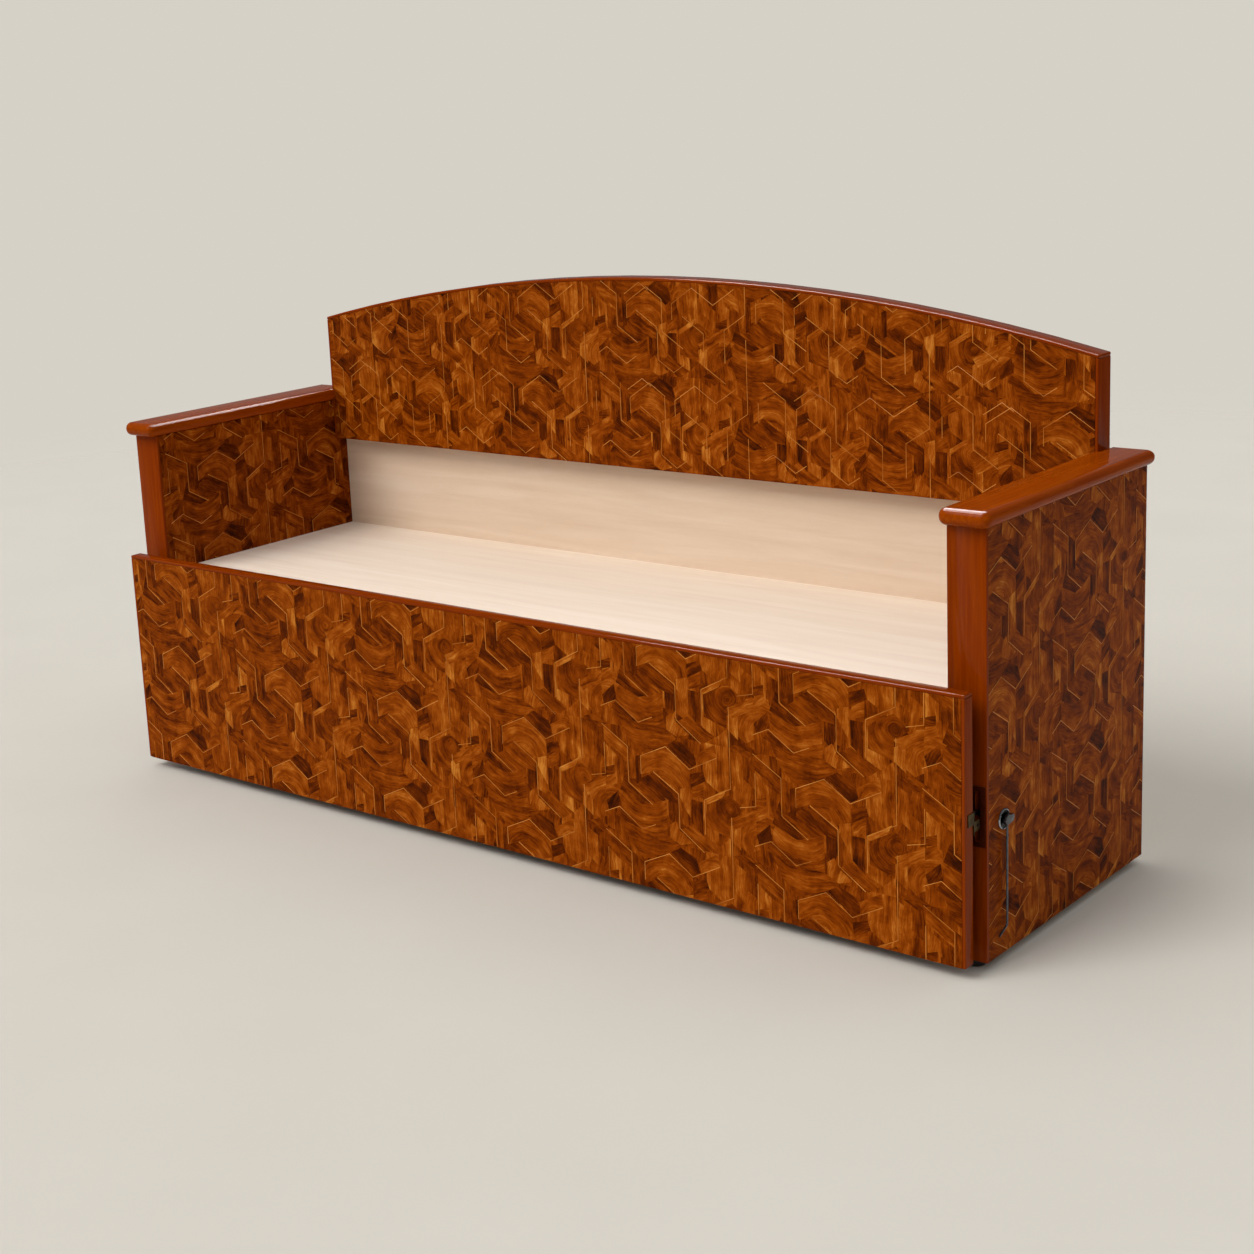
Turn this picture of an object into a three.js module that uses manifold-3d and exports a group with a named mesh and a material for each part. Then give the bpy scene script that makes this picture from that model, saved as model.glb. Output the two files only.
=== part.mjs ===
// Wooden sofa bed: two box arms, an arched back, a fixed ply seat and a bed base that pulls out at the front.
// Millimetres, +Z up. X runs along the sofa, the front faces -Y, the floor is Z = 0.
// While the pieces are written, Y = 0 is the front face of the arms; the last shift centres the whole depth.
import * as THREE from 'three';
import { mergeVertices } from 'three/addons/utils/BufferGeometryUtils.js';
import Module from 'manifold-3d';

const wasm = await Module();
wasm.setup();

// Driving dimensions of the fixed part
const OVERALL_LENGTH = 1960;
const ARM_DEPTH = 550;
const ARM_THICK = 66;
const FLOOR_GAP = 15;
const CAP_TOP = 732;
const CAP_THICK = 27;
const CAP_OVERHANG_FRONT = 20;
const CAP_OVERHANG_OUTER = 13;
const CAP_OVERHANG_INNER = 8;
const CAP_ROUNDING = 9;
const BACK_THICK = 46;
const BACK_BOTTOM = 621;
const BACK_END_TOP = 891;
const BACK_CROWN = 997;
const SEAT_TOP = 422;
const BOARD_THICK = 12;
const RAIL_THICK = 20;
const SEAT_RAIL_HEIGHT = 40;
const FLOOR_RAIL_HEIGHT = 60;
const SEAT_SETBACK = 2;
const POST_DEPTH = 40;
const POST_LIP = 6;
const LIPPING = 6;

// Driving dimensions of the pull-out bed base
const PANEL_END_INSET = 10;
const PANEL_THICK = 25;
const PANEL_GAP = 25;
const PANEL_BOTTOM = 21;
const PANEL_TOP = 459;
const BASE_REAR_SPACE = 58;
const BASE_SIDE_BOTTOM = 75;
const RUNNER_FRONT = 10;
const RUNNER_REAR_SPACE = 38;
const BASE_SIDE_THICK = 24;
const BASE_RAIL_HEIGHT = 110;
const RUNNER_HEIGHT = 24;
const RUNNER_BOTTOM = 150;
const RUNNER_TOOTH = 9;
const WHEEL_RADIUS = 25;
const WHEEL_WIDTH = 18;
const AXLE_RADIUS = 4;
const CASTER_FRONT_Y = 25;
const CASTER_REAR_SETBACK = 35;

// Driving dimensions of the release lever and latch
const PIVOT_Y = 51.6;
const PIVOT_Z = 236.3;
const ROSE_RADIUS = 17;
const SPINDLE_RADIUS = 5;
const ROD_RADIUS = 1.8;
const ROD_BOTTOM = 52;
const PIN_RADIUS = 2.5;

// Named clearances
const REST_GAP = 0.3;
const SLIDE_GAP = 0.6;
const RUN_GAP = 0.06;
const MOVE_GAP = 6;

// Places that follow from the sizes above
const armOuter = OVERALL_LENGTH / 2;
const armInner = armOuter - ARM_THICK;
const armTop = CAP_TOP - CAP_THICK;
const coreHalf = ARM_THICK / 2 - BOARD_THICK;
const armMiddle = armOuter - ARM_THICK / 2;
const backFront = ARM_DEPTH - BACK_THICK;
const backHalf = armInner - REST_GAP;
const lowerBackFront = ARM_DEPTH - BOARD_THICK;
const seatUnder = SEAT_TOP - BOARD_THICK;
const seatRailBottom = seatUnder - SEAT_RAIL_HEIGHT;
const panelHalf = armOuter - PANEL_END_INSET;
const panelBack = -PANEL_GAP;
const panelFront = panelBack - PANEL_THICK;
const baseBack = lowerBackFront - BASE_REAR_SPACE;
const baseTop = seatRailBottom - MOVE_GAP;
const baseUnder = baseTop - BOARD_THICK;
const baseSideOuter = armInner - 10;
const baseSideInner = baseSideOuter - BASE_SIDE_THICK;
const centreShift = (PANEL_GAP + PANEL_THICK - ARM_DEPTH) / 2;

const finish = {
  solid: { color: 0x8a3a10, roughness: 0.28, metalness: 0 },
  veneer: { color: 0x7c3d14, roughness: 0.3, metalness: 0 },
  birch: { color: 0xe6cfae, roughness: 0.6, metalness: 0 },
  rail: { color: 0xcfae82, roughness: 0.7, metalness: 0 },
  glide: { color: 0x1c1a19, roughness: 0.6, metalness: 0 },
  chrome: { color: 0xc9ccd0, roughness: 0.15, metalness: 1 },
  steel: { color: 0x3b3f46, roughness: 0.35, metalness: 1 },
  brass: { color: 0x9a7a3c, roughness: 0.4, metalness: 1 },
  wheel: { color: 0x4a4a4c, roughness: 0.6, metalness: 0 },
};

const sofa = new THREE.Group();
sofa.name = 'sofa_bed';

function add(name, look, geometry) {
  geometry.translate(0, centreShift, 0);
  const mesh = new THREE.Mesh(geometry, new THREE.MeshStandardMaterial(finish[look]));
  mesh.name = name;
  sofa.add(mesh);
}

function block(x0, x1, y0, y1, z0, z1) {
  const geometry = new THREE.BoxGeometry(Math.abs(x1 - x0), y1 - y0, z1 - z0);
  geometry.translate((x0 + x1) / 2, (y0 + y1) / 2, (z0 + z1) / 2);
  return geometry;
}

// A closed outline drawn in the Y-Z plane and given a thickness along X
function plateYZ(shape, x0, x1) {
  const geometry = new THREE.ExtrudeGeometry(shape, { depth: x1 - x0, bevelEnabled: false, curveSegments: 24 });
  geometry.rotateX(Math.PI / 2);
  geometry.rotateZ(Math.PI / 2);
  geometry.translate(x0, 0, 0);
  return geometry;
}

// A closed outline drawn in the X-Z plane and given a length along Y
function plateXZ(shape, y0, y1) {
  const geometry = new THREE.ExtrudeGeometry(shape, { depth: y1 - y0, bevelEnabled: false, curveSegments: 48 });
  geometry.rotateX(Math.PI / 2);
  geometry.translate(0, y1, 0);
  return geometry;
}

function outline(points) {
  return new THREE.Shape(points.map(([a, b]) => new THREE.Vector2(a, b)));
}

// A turned piece on an axis along X through y, z
function turned(profile, y, z, segments = 40) {
  const geometry = new THREE.LatheGeometry(profile.map(([r, x]) => new THREE.Vector2(r, x)), segments);
  geometry.rotateZ(-Math.PI / 2);
  geometry.translate(0, y, z);
  return geometry;
}

function ring(inner, outer, x0, x1, y, z, segments = 40) {
  return turned([[inner, x0], [outer, x0], [outer, x1], [inner, x1], [inner, x0]], y, z, segments);
}

function rod(radius, x0, x1, y, z, segments = 32) {
  return turned([[0, x0], [radius, x0], [radius, x1], [0, x1]], y, z, segments);
}

function toSolid(geometry) {
  const plain = geometry.clone();
  plain.deleteAttribute('normal');
  plain.deleteAttribute('uv');
  const merged = mergeVertices(plain, 1e-4);
  return new wasm.Manifold(new wasm.Mesh({
    numProp: 3,
    vertProperties: new Float32Array(merged.attributes.position.array),
    triVerts: new Uint32Array(merged.index.array),
  }));
}

function fromSolid(solid) {
  const mesh = solid.getMesh();
  const geometry = new THREE.BufferGeometry();
  geometry.setAttribute('position', new THREE.BufferAttribute(new Float32Array(mesh.vertProperties), 3));
  geometry.setIndex(new THREE.BufferAttribute(new Uint32Array(mesh.triVerts), 1));
  const open = geometry.toNonIndexed();
  open.computeVertexNormals();
  return open;
}

function joined(...geometries) {
  return fromSolid(geometries.map(toSolid).reduce((a, b) => a.add(b)));
}

function cut(geometry, ...tools) {
  return fromSolid(tools.map(toSolid).reduce((a, b) => a.subtract(b), toSolid(geometry)));
}

// Latch slot through the right front post and its face plate
const tongueX0 = armOuter - BOARD_THICK - 6;
const tongueX1 = tongueX0 + 4;
const slot = { x0: tongueX0 - 2, x1: tongueX1 + 3, z0: PIVOT_Z - 24, z1: PIVOT_Z + 58 };

// Box arms: a front post with a full-width lip, a rear post, rails, two boards, a rounded cap and two glides
for (const [side, s] of [['left', -1], ['right', 1]]) {
  const inner = s * armInner;
  const outer = s * armOuter;
  const middle = s * armMiddle;
  const half = ARM_THICK / 2;
  const tee = outline([
    [middle - half, 0],
    [middle + half, 0],
    [middle + half, POST_LIP],
    [middle + coreHalf, POST_LIP],
    [middle + coreHalf, POST_DEPTH],
    [middle - coreHalf, POST_DEPTH],
    [middle - coreHalf, POST_LIP],
    [middle - half, POST_LIP],
  ]);
  let post = new THREE.ExtrudeGeometry(tee, { depth: armTop - FLOOR_GAP, bevelEnabled: false });
  post.translate(0, 0, FLOOR_GAP);
  if (s > 0) {
    post = cut(post, block(slot.x0, slot.x1, -5, POST_DEPTH + 5, slot.z0, slot.z1));
  }
  add(`arm_${side}_front_post`, 'solid', post);
  add(`arm_${side}_rear_post`, 'rail', block(middle - coreHalf, middle + coreHalf,
    ARM_DEPTH - POST_DEPTH, ARM_DEPTH, FLOOR_GAP, armTop));
  for (const [name, z0] of [['bottom', FLOOR_GAP], ['top', armTop - SEAT_RAIL_HEIGHT]]) {
    add(`arm_${side}_${name}_rail`, 'rail', block(middle - coreHalf, middle + coreHalf,
      POST_DEPTH, ARM_DEPTH - POST_DEPTH, z0, z0 + SEAT_RAIL_HEIGHT));
  }
  add(`arm_${side}_inner_board`, 'veneer', block(inner, inner + s * BOARD_THICK,
    POST_LIP, ARM_DEPTH, FLOOR_GAP, armTop));
  let outerBoard = block(outer - s * BOARD_THICK, outer, POST_LIP, ARM_DEPTH, FLOOR_GAP, armTop);
  if (s > 0) {
    const face = outline([[POST_LIP, FLOOR_GAP], [ARM_DEPTH, FLOOR_GAP], [ARM_DEPTH, armTop], [POST_LIP, armTop]]);
    const hole = new THREE.Path();
    hole.absarc(PIVOT_Y, PIVOT_Z, SPINDLE_RADIUS + 3, 0, 2 * Math.PI, true);
    face.holes.push(hole);
    outerBoard = plateYZ(face, outer - BOARD_THICK, outer);
  }
  add(`arm_${side}_outer_board`, 'veneer', outerBoard);

  // The cap is narrower beside the back panel, which stands between the two caps
  const capIn = armInner - CAP_OVERHANG_INNER;
  const capOut = armOuter + CAP_OVERHANG_OUTER;
  const notch = armInner + REST_GAP;
  const corner = 14;
  const plan = new THREE.Shape();
  plan.moveTo(capIn + corner, -CAP_OVERHANG_FRONT);
  plan.lineTo(capOut - corner, -CAP_OVERHANG_FRONT);
  plan.absarc(capOut - corner, corner - CAP_OVERHANG_FRONT, corner, -Math.PI / 2, 0, false);
  plan.lineTo(capOut, ARM_DEPTH);
  plan.lineTo(notch, ARM_DEPTH);
  plan.lineTo(notch, backFront - REST_GAP);
  plan.lineTo(capIn, backFront - REST_GAP);
  plan.lineTo(capIn, corner - CAP_OVERHANG_FRONT);
  plan.absarc(capIn + corner, corner - CAP_OVERHANG_FRONT, corner, Math.PI, 1.5 * Math.PI, false);
  const cap = new THREE.ExtrudeGeometry(plan, {
    depth: CAP_THICK - 2 * CAP_ROUNDING,
    bevelThickness: CAP_ROUNDING,
    bevelSize: CAP_ROUNDING,
    bevelOffset: -CAP_ROUNDING,
    bevelSegments: 5,
    curveSegments: 8,
  });
  cap.translate(0, 0, armTop + CAP_ROUNDING);
  if (s < 0) {
    cap.rotateZ(Math.PI);
    cap.rotateX(Math.PI);
    cap.translate(0, 0, 2 * armTop + CAP_THICK);
  }
  add(`arm_${side}_cap`, 'solid', cap);
  for (const [name, y] of [['front', POST_DEPTH / 2 + 4], ['rear', ARM_DEPTH - POST_DEPTH / 2 - 4]]) {
    const glide = new THREE.CylinderGeometry(18, 16, FLOOR_GAP, 32);
    glide.rotateX(Math.PI / 2);
    glide.translate(middle, y, FLOOR_GAP / 2);
    add(`glide_${side}_${name}`, 'glide', glide);
  }
}

// Arched back panel with solid lippings on its top and ends
const archRise = BACK_CROWN - BACK_END_TOP;
const archRadius = (backHalf * backHalf + archRise * archRise) / (2 * archRise);
const archCentre = BACK_CROWN - archRadius;
const archHeight = (x, inset) => archCentre + Math.sqrt((archRadius - inset) ** 2 - x * x);
const coreEnd = backHalf - LIPPING;
const archSteps = 40;
function coreArch(inset) {
  const points = [];
  for (let i = 0; i <= archSteps; i += 1) {
    const x = coreEnd - (2 * coreEnd * i) / archSteps;
    points.push([x, archHeight(x, inset)]);
  }
  return points;
}
function fullArch(inset) {
  const ends = archHeight(backHalf, inset);
  return [[backHalf, ends], ...coreArch(inset), [-backHalf, ends]];
}
add('back_panel', 'veneer', plateXZ(outline([
  [-coreEnd, BACK_BOTTOM], [coreEnd, BACK_BOTTOM], ...coreArch(LIPPING),
]), backFront, ARM_DEPTH));
add('back_top_lipping', 'solid', plateXZ(outline([
  ...fullArch(0), ...fullArch(LIPPING).reverse(),
]), backFront, ARM_DEPTH));
for (const [side, s] of [['left', -1], ['right', 1]]) {
  add(`back_${side}_lipping`, 'solid', plateXZ(outline([
    [s * coreEnd, BACK_BOTTOM], [s * backHalf, BACK_BOTTOM],
    [s * backHalf, archHeight(backHalf, LIPPING)], [s * coreEnd, archHeight(coreEnd, LIPPING)],
  ]), backFront, ARM_DEPTH));
}
add('lower_back_board', 'birch', block(-backHalf, backHalf, lowerBackFront, ARM_DEPTH, FLOOR_GAP, BACK_BOTTOM));

// Fixed seat board on its frame
const bearerFront = SEAT_SETBACK + RAIL_THICK;
const bearerBack = lowerBackFront - RAIL_THICK;
add('seat_board', 'birch', block(-backHalf, backHalf, SEAT_SETBACK, lowerBackFront, seatUnder, SEAT_TOP));
add('seat_front_rail', 'rail', block(-backHalf, backHalf, SEAT_SETBACK, bearerFront, seatRailBottom, seatUnder));
add('seat_rear_rail', 'rail', block(-backHalf, backHalf, lowerBackFront - RAIL_THICK, lowerBackFront,
  seatRailBottom, seatUnder));
for (const [name, x0, x1] of [
  ['seat_left_cleat', -armInner, RAIL_THICK - armInner],
  ['seat_right_cleat', armInner - RAIL_THICK, armInner],
  ['seat_centre_bearer', -RAIL_THICK / 2, RAIL_THICK / 2],
]) {
  add(name, 'rail', block(x0, x1, bearerFront, bearerBack, seatRailBottom, seatUnder));
}
add('rear_floor_rail', 'rail', block(-backHalf, backHalf, lowerBackFront - RAIL_THICK, lowerBackFront,
  FLOOR_GAP, FLOOR_GAP + FLOOR_RAIL_HEIGHT));

// Runners on the arms, and the grooved sides of the bed base that slide along them
const grooveX = baseSideOuter - RUNNER_TOOTH - SLIDE_GAP;
for (const [side, s] of [['left', -1], ['right', 1]]) {
  add(`runner_${side}`, 'rail', block(s * (baseSideOuter - RUNNER_TOOTH), s * armInner, RUNNER_FRONT, lowerBackFront - RUNNER_REAR_SPACE,
    RUNNER_BOTTOM, RUNNER_BOTTOM + RUNNER_HEIGHT));
  add(`base_${side}_side`, 'rail', plateXZ(outline([
    [s * baseSideInner, BASE_SIDE_BOTTOM],
    [s * baseSideOuter, BASE_SIDE_BOTTOM],
    [s * baseSideOuter, RUNNER_BOTTOM - SLIDE_GAP],
    [s * grooveX, RUNNER_BOTTOM - SLIDE_GAP],
    [s * grooveX, RUNNER_BOTTOM + RUNNER_HEIGHT + SLIDE_GAP],
    [s * baseSideOuter, RUNNER_BOTTOM + RUNNER_HEIGHT + SLIDE_GAP],
    [s * baseSideOuter, baseUnder],
    [s * baseSideInner, baseUnder],
  ]), panelBack, baseBack));
}

// Front panel of the bed base with its lippings
const panelCore = panelHalf - LIPPING;
add('front_panel', 'veneer', block(-panelCore, panelCore, panelFront, panelBack, PANEL_BOTTOM, PANEL_TOP - LIPPING));
add('front_top_lipping', 'solid', block(-panelHalf, panelHalf, panelFront, panelBack,
  PANEL_TOP - LIPPING, PANEL_TOP));
add('front_left_lipping', 'solid', block(-panelHalf, -panelCore, panelFront, panelBack,
  PANEL_BOTTOM, PANEL_TOP - LIPPING));
add('front_right_lipping', 'solid', block(panelCore, panelHalf, panelFront, panelBack,
  PANEL_BOTTOM, PANEL_TOP - LIPPING));

// Bed base frame and board
const railPlaces = [
  ['front', panelBack],
  ['middle', (panelBack + baseBack - RAIL_THICK) / 2],
  ['rear', baseBack - RAIL_THICK],
];
for (const [name, y] of railPlaces) {
  add(`base_${name}_rail`, 'rail', block(-baseSideInner, baseSideInner, y, y + RAIL_THICK,
    baseUnder - BASE_RAIL_HEIGHT, baseUnder));
}
add('base_board', 'birch', block(-baseSideOuter, baseSideOuter, panelBack, baseBack, baseUnder, baseTop));

// Fixed casters under the sides: a bent fork with its riveted axle, and a wheel
const forkX = baseSideOuter - BASE_SIDE_THICK / 2;
const cheek = 2;
const forkHalf = WHEEL_WIDTH / 2 + 1 + cheek;
for (const [side, s] of [['left', -1], ['right', 1]]) {
  for (const [end, y] of [['front', CASTER_FRONT_Y], ['rear', baseBack - CASTER_REAR_SETBACK]]) {
    const x = s * forkX;
    const top = block(x - forkHalf, x + forkHalf, y - 22, y + 22, BASE_SIDE_BOTTOM - cheek, BASE_SIDE_BOTTOM);
    const cheeks = [-1, 1].map((c) => plateYZ(outline([
      [y - 20, BASE_SIDE_BOTTOM - 0.5],
      [y - 8, WHEEL_RADIUS - 7],
      [y + 8, WHEEL_RADIUS - 7],
      [y + 20, BASE_SIDE_BOTTOM - 0.5],
    ]), x + c * (forkHalf - cheek / 2) - cheek / 2, x + c * (forkHalf - cheek / 2) + cheek / 2));
    const axle = rod(AXLE_RADIUS, x - forkHalf - 1, x + forkHalf + 1, y, WHEEL_RADIUS);
    add(`caster_fork_${side}_${end}`, 'steel', joined(top, ...cheeks, axle));
    const bore = AXLE_RADIUS + RUN_GAP;
    const half = WHEEL_WIDTH / 2;
    add(`caster_wheel_${side}_${end}`, 'wheel', turned([
      [bore, x - half],
      [WHEEL_RADIUS - 2, x - half],
      [WHEEL_RADIUS, x - half + 2],
      [WHEEL_RADIUS, x + half - 2],
      [WHEEL_RADIUS - 2, x + half],
      [bore, x + half],
      [bore, x - half],
    ], y, WHEEL_RADIUS, 48));
  }
}

// Rose, bush and slot plate of the release lever, fixed to the right arm
add('lever_rose', 'chrome', ring(SPINDLE_RADIUS + RUN_GAP, ROSE_RADIUS, armOuter, armOuter + 3, PIVOT_Y, PIVOT_Z, 48));
add('lever_bush', 'brass', ring(SPINDLE_RADIUS + RUN_GAP, SPINDLE_RADIUS + 3 - 0.1,
  armOuter - BOARD_THICK - 1, armOuter, PIVOT_Y, PIVOT_Z));
const plateFace = outline([
  [slot.x0 - 5, slot.z0 - 8], [armOuter - 2, slot.z0 - 8],
  [armOuter - 2, slot.z1 + 8], [slot.x0 - 5, slot.z1 + 8],
]);
plateFace.holes.push(new THREE.Path([
  new THREE.Vector2(slot.x0, slot.z0), new THREE.Vector2(slot.x0, slot.z1),
  new THREE.Vector2(slot.x1, slot.z1), new THREE.Vector2(slot.x1, slot.z0),
]));
add('latch_face_plate', 'steel', plateXZ(plateFace, -1.5, 0));

// Release lever: hub with a side lobe, hanging rod with a bent tip, spindle and latch tongue
const hubFront = armOuter + 3 + 0.4;
const hubBack = hubFront + 6;
const lobe = new THREE.Shape();
lobe.absarc(0, 0, 8.5, Math.PI * 0.25, Math.PI * 1.6, false);
lobe.lineTo(16, -6);
lobe.absarc(14, 1, 5, -Math.PI * 0.3, Math.PI * 0.45, false);
lobe.closePath();
const lobeGeometry = plateYZ(lobe, hubFront, hubBack);
lobeGeometry.translate(0, PIVOT_Y, PIVOT_Z);
add('lever_hub', 'chrome', lobeGeometry);
const rodX = hubFront + 3;
const rodTop = PIVOT_Z - 8.8;
const rodPath = new THREE.CurvePath();
const bendStart = new THREE.Vector3(rodX, PIVOT_Y, ROD_BOTTOM + 14);
const bendEnd = new THREE.Vector3(rodX, PIVOT_Y - 6, ROD_BOTTOM + 9);
rodPath.add(new THREE.LineCurve3(new THREE.Vector3(rodX, PIVOT_Y, rodTop), bendStart));
rodPath.add(new THREE.QuadraticBezierCurve3(bendStart, new THREE.Vector3(rodX, PIVOT_Y, ROD_BOTTOM + 10), bendEnd));
rodPath.add(new THREE.LineCurve3(bendEnd, new THREE.Vector3(rodX, PIVOT_Y - 25, ROD_BOTTOM)));
const rodSection = new THREE.Shape();
rodSection.absarc(0, 0, ROD_RADIUS, 0, 2 * Math.PI, false);
add('lever_rod', 'steel', new THREE.ExtrudeGeometry(rodSection, {
  steps: 60, extrudePath: rodPath, curveSegments: 6, bevelEnabled: false,
}));
add('lever_spindle', 'steel', rod(SPINDLE_RADIUS, tongueX1, hubFront, PIVOT_Y, PIVOT_Z));
add('latch_tongue', 'steel', plateYZ(outline([
  [PIVOT_Y + 9, PIVOT_Z - 9],
  [PIVOT_Y + 9, PIVOT_Z + 9],
  [0, PIVOT_Z + 27],
  [-19, PIVOT_Z + 28],
  [-20.5, PIVOT_Z + 12],
  [-17.5, PIVOT_Z + 12],
  [-16, PIVOT_Z + 23],
  [-2, PIVOT_Z + 20],
  [PIVOT_Y - 9, PIVOT_Z - 9],
]), tongueX0, tongueX1));

// Striker on the front panel: a bent plate with two lugs and the pin that the tongue hooks
const pinY = panelBack + 12;
const pinZ = PIVOT_Z + 8;
const strikerIn = panelHalf - 24;
const strikerOut = panelHalf + 1.5;
const lugZ = [pinZ - 8, pinZ + 8];
const boreTool = rod(PIN_RADIUS + 0.03, strikerIn - 5, strikerOut + 5, pinY, pinZ);
const strikerParts = joined(
  block(strikerIn, strikerOut, panelBack, panelBack + 1.5, pinZ - 14, pinZ + 26),
  block(panelHalf, strikerOut, panelBack - 17, panelBack + 1.5, pinZ + 4, pinZ + 24),
  block(strikerIn, strikerIn + 2, panelBack, pinY + 6, ...lugZ),
  block(strikerOut - 2, strikerOut, panelBack, pinY + 6, ...lugZ),
);
add('striker_plate', 'brass', cut(strikerParts, boreTool));
add('striker_pin', 'steel', rod(PIN_RADIUS, strikerIn - 1, strikerOut + 1, pinY, pinZ));

export default sofa;
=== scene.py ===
"""A wooden sofa bed: box arms, an arched back, a bare ply seat and a bed base that pulls out at the front."""
import math
import random

import bmesh
import bpy
from mathutils import Matrix, Vector
from mathutils.geometry import delaunay_2d_cdt


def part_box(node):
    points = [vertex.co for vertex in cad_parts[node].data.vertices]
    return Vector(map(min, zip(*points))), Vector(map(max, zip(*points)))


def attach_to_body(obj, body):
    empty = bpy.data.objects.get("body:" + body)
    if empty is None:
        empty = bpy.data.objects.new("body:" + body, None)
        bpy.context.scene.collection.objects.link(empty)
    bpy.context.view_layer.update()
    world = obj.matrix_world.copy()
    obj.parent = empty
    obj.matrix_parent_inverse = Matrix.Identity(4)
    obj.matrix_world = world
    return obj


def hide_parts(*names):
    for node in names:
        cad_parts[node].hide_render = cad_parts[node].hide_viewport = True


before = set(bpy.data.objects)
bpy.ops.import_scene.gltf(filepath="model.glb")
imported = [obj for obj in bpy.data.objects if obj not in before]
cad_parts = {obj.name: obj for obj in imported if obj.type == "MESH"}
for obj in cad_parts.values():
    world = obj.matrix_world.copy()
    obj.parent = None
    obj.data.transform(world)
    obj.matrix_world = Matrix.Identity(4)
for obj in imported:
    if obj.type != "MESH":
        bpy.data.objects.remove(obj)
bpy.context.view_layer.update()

# Front posts of the box arms
# Solid reddish-brown hardwood, planed, stained and sprayed with gloss lacquer, one upright in each arm.
# The outer edges are eased with a sanding block before the finish goes on.


def linear(code):
    """Turns a six-digit sRGB hex colour into linear red, green, blue and alpha."""
    parts = [int(code[i:i + 2], 16) / 255 for i in (1, 3, 5)]
    return [c / 12.92 if c <= 0.04045 else ((c + 0.055) / 1.055) ** 2.4 for c in parts] + [1.0]


def put(tree, kind, sockets=None, stops=None, **settings):
    """Adds a node: settings are its options, and each socket gets a value, an output or a node's first output."""
    made = tree.nodes.new(kind)
    for name, value in settings.items():
        setattr(made, name, value)
    for name, value in (sockets or {}).items():
        if isinstance(value, bpy.types.Node):
            value = value.outputs[0]
        if isinstance(value, bpy.types.NodeSocket):
            tree.links.new(value, made.inputs[name])
        else:
            made.inputs[name].default_value = value
    if stops:
        elements = made.color_ramp.elements
        while len(elements) < len(stops):
            elements.new(0.5)
        for element, (place, code) in zip(elements, stops):
            element.position = place
            element.color = linear(code)
    return made


def start_material(name, **shader_values):
    """Starts a material; gives back the material, its tree and its shader with the constant values set."""
    material = bpy.data.materials.new(name)
    material.use_nodes = True
    shader = material.node_tree.nodes["Principled BSDF"]
    for socket, value in shader_values.items():
        shader.inputs[socket.replace("_", " ")].default_value = value
    return material, material.node_tree, shader


def lacquered_hardwood(name, along, shades):
    """Reddish hardwood in four shades under gloss lacquer, its grain along one axis.

    The pores are about 1 mm wide and 25 mm long and the colour streaks 6 mm wide; the lacquer stays smooth.
    """
    material, tree, shader = start_material(name, IOR=1.5, Specular_IOR_Level=0.05)
    place = put(tree, "ShaderNodeTexCoord").outputs["Object"]
    stretch = [1.0 if axis == along else 22.0 for axis in "XYZ"]
    lengthwise = put(tree, "ShaderNodeMapping", {"Vector": place, "Scale": stretch})
    streaks = put(tree, "ShaderNodeTexNoise", {
        "Vector": lengthwise, "Scale": 7.0, "Detail": 5.0, "Roughness": 0.6, "Distortion": 0.4})
    pores = put(tree, "ShaderNodeTexNoise", {"Vector": lengthwise, "Scale": 40.0, "Detail": 3.0})
    figure = put(tree, "ShaderNodeMath", {0: pores, 1: 0.3, 2: streaks}, operation="MULTIPLY_ADD")
    shade = put(tree, "ShaderNodeValToRGB", {0: figure}, stops=list(zip((0.35, 0.6, 0.75, 0.95), shades)))
    gloss = put(tree, "ShaderNodeMapRange", {0: pores, 1: 0.3, 2: 0.7, 3: 0.08, 4: 0.13})
    relief = put(tree, "ShaderNodeBump", {"Height": figure, "Strength": 0.04, "Distance": 0.0004})
    tree.links.new(shade.outputs[0], shader.inputs["Base Color"])
    tree.links.new(gloss.outputs[0], shader.inputs["Roughness"])
    tree.links.new(relief.outputs[0], shader.inputs["Normal"])
    return material


post_shades = ("#702600", "#7a2c00", "#823200", "#8a3a00")
hardwood_along_x = lacquered_hardwood("lacquered_hardwood_grain_along_x", "X", post_shades)
hardwood_along_z = lacquered_hardwood("lacquered_hardwood_grain_along_z", "Z", post_shades)


def finish_nodes(material, *nodes):
    """Gives CAD nodes their real finish."""
    for node in nodes:
        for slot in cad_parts[node].material_slots:
            slot.material = material


def attach(piece, body, slot, *nodes):
    """Fixes a finished piece to its body and hides the CAD nodes it stands for; slot is not used."""
    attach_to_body(piece, body)
    if nodes:
        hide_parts(*nodes)


def new_piece(name, mesh, material):
    """Puts a mesh in the scene as a piece with one material."""
    piece = bpy.data.objects.new(name, mesh)
    bpy.context.scene.collection.objects.link(piece)
    if material:
        mesh.materials.append(material)
    return piece


def baked(piece):
    """Turns what a piece's modifiers make into its own plain mesh."""
    graph = bpy.context.evaluated_depsgraph_get()
    mesh = bpy.data.meshes.new_from_object(piece.evaluated_get(graph), depsgraph=graph)
    piece.modifiers.clear()
    piece.data = mesh
    return piece


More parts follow.
